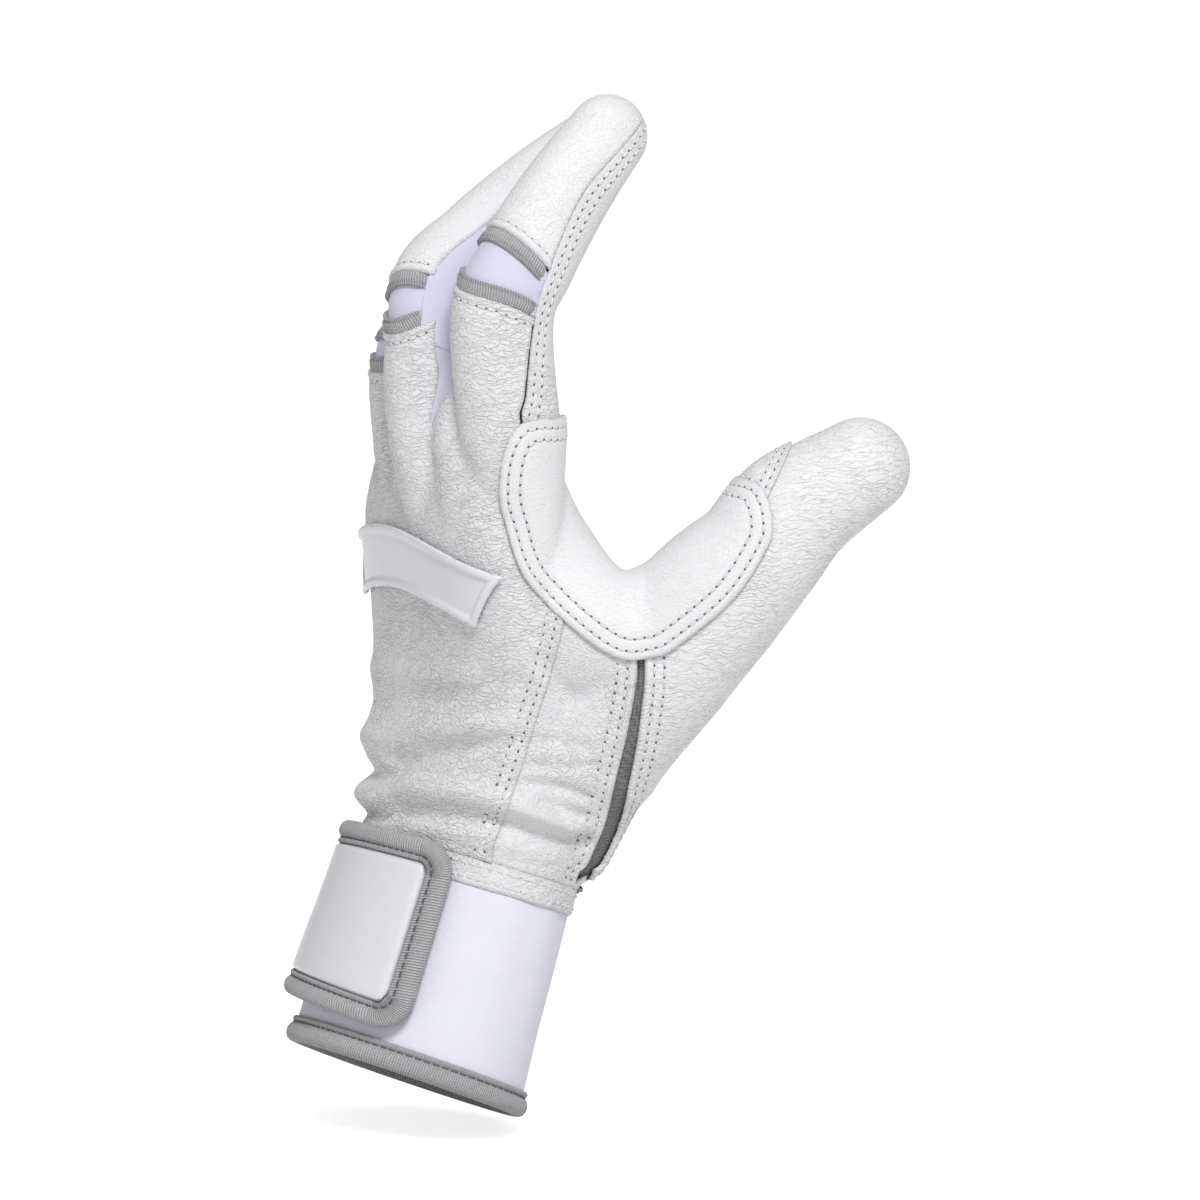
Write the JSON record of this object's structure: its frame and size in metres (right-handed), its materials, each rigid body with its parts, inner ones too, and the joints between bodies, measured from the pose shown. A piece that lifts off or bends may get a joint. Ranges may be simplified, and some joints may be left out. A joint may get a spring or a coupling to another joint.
{
  "type": "batting glove",
  "caption": "Left-hand batting glove with open cuff, stretch knuckle openings, web patch and peel-open wrist strap.",
  "frame": {"origin": "centre of the cuff mouth, where the hand goes in", "axes": "+Z from the cuff to the fingertips, +X to the palm side, -Y to the thumb side"},
  "size_m": [0.1206, 0.1225, 0.2394],
  "materials": {
    "leather": "fine-grained white sheepskin, low sheen",
    "spandex": "smooth matt stretch knit, pale lavender white",
    "binding": "ribbed grey stretch binding",
    "moulded": "smooth moulded soft plastic, satin",
    "mesh": "dark grey fine mesh",
    "pile": "hook and loop pile"
  },
  "bodies": {
    "glove": {"back_panel": "leather", "palm_panel": "leather", "radial_side_panel": "leather", "thumb_shell": "leather", "web_patch": "leather", "slit_gusset": "mesh", "name_band": "moulded", "wrist_hem": "leather", "cuff_sleeve": "spandex", "cuff_tape": "binding", "cuff_loop_patch": "pile", "strap_anchor": "binding", "fork_index_middle": "spandex", "fork_middle_ring": "spandex", "fork_ring_little": "spandex", "index_lower_tape": "binding", "index_knuckle_gusset": "spandex", "middle_lower_tape": "binding", "middle_knuckle_gusset": "spandex", "ring_lower_tape": "binding", "ring_knuckle_gusset": "spandex", "little_lower_tape": "binding", "little_knuckle_gusset": "spandex"},
    "thumb_end": {"thumb_tip": "leather", "thumb_patch": "leather"},
    "strap": {"strap_band": "spandex", "strap_tape": "binding", "strap_hook_tab": "pile", "strap_badge": "moulded"},
    "index_end": {"index_cap": "leather", "index_front": "leather", "index_upper_tape": "binding", "index_outer_side": "spandex"},
    "middle_end": {"middle_cap": "leather", "middle_front": "leather", "middle_upper_tape": "binding", "middle_inner_side": "spandex", "middle_outer_side": "spandex"},
    "ring_end": {"ring_cap": "leather", "ring_front": "leather", "ring_upper_tape": "binding", "ring_inner_side": "spandex", "ring_outer_side": "spandex"},
    "little_end": {"little_cap": "leather", "little_front": "leather", "little_upper_tape": "binding", "little_inner_side": "spandex"}
  },
  "joints": [
    {"name": "index_bend", "type": "hinge", "parent": "glove", "child": "index_end", "pos_m": [0.02072, -0.0332, 0.17893], "axis": [0, 1, 0], "range_deg": [-14, 45], "deforming": ["index_knuckle_gusset"]},
    {"name": "middle_bend", "type": "hinge", "parent": "glove", "child": "middle_end", "pos_m": [0.01654, -0.0104, 0.18016], "axis": [0, 1, 0], "range_deg": [-14, 45], "deforming": ["middle_knuckle_gusset"]},
    {"name": "ring_bend", "type": "hinge", "parent": "glove", "child": "ring_end", "pos_m": [0.02508, 0.0124, 0.16431], "axis": [0, 1, 0], "range_deg": [-14, 45], "deforming": ["ring_knuckle_gusset"]},
    {"name": "little_bend", "type": "hinge", "parent": "glove", "child": "little_end", "pos_m": [0.03297, 0.0352, 0.15173], "axis": [0, 1, 0], "range_deg": [-14, 45], "deforming": ["little_knuckle_gusset"]},
    {"name": "thumb_bend", "type": "hinge", "parent": "glove", "child": "thumb_end", "pos_m": [0.06289, -0.05482, 0.14243], "axis": [-0.4827, -0.8756, 0.0182], "range_deg": [0, 40]},
    {"name": "strap_peel", "type": "hinge", "parent": "glove", "child": "strap", "pos_m": [0.0198, 0.03396, 0.02538], "axis": [-0.3173, 0, -0.9483], "range_deg": [0, 100]}
  ]
}
